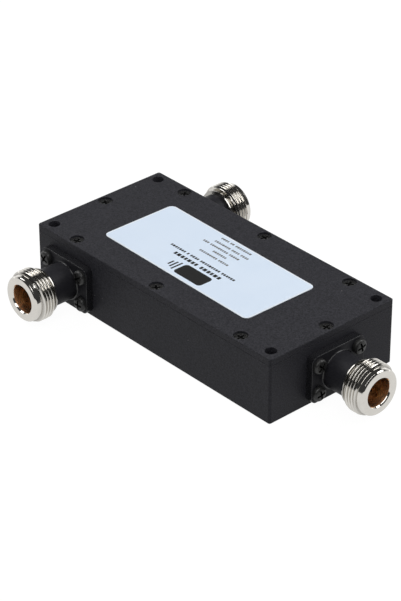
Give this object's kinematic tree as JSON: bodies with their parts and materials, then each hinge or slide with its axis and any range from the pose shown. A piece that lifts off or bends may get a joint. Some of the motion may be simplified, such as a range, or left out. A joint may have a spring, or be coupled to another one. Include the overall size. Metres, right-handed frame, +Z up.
{
  "type": "rf power splitter",
  "caption": "Flat black metal box with a screwed lid that splits one coaxial socket's signal between opposite side sockets, with corner fixing holes.",
  "frame": {"origin": "centre of the housing's underside", "axes": "+X along the box towards the common port, +Y towards the far branch port, +Z up through the lid"},
  "size_m": [0.1184, 0.0842, 0.0212],
  "materials": {
    "black_paint": "satin",
    "label_paper": "matte",
    "board_laminate": "matte",
    "copper_foil": "satin",
    "resistor_body": "matte",
    "steel_screw": "satin",
    "black_screw": "satin",
    "solder": "satin",
    "nickel_plating": "polished",
    "gold_plating": "polished",
    "white_insulator": "matte"
  },
  "bodies": {
    "root": {"housing": "black_paint", "lid": "black_paint", "lid_screws": "black_screw", "label": "label_paper", "circuit_board": "board_laminate", "copper_traces": "copper_foil", "isolation_resistor_1": "resistor_body", "isolation_resistor_2": "resistor_body", "isolation_resistor_3": "resistor_body", "board_screws": "steel_screw", "solder_joints": "solder", "common_shell": "nickel_plating", "common_insulator": "white_insulator", "common_contact": "gold_plating", "common_flange_screws": "black_screw", "near_branch_shell": "nickel_plating", "near_branch_insulator": "white_insulator", "near_branch_contact": "gold_plating", "near_branch_flange_screws": "black_screw", "far_branch_shell": "nickel_plating", "far_branch_insulator": "white_insulator", "far_branch_contact": "gold_plating", "far_branch_flange_screws": "black_screw"}
  },
  "joints": []
}
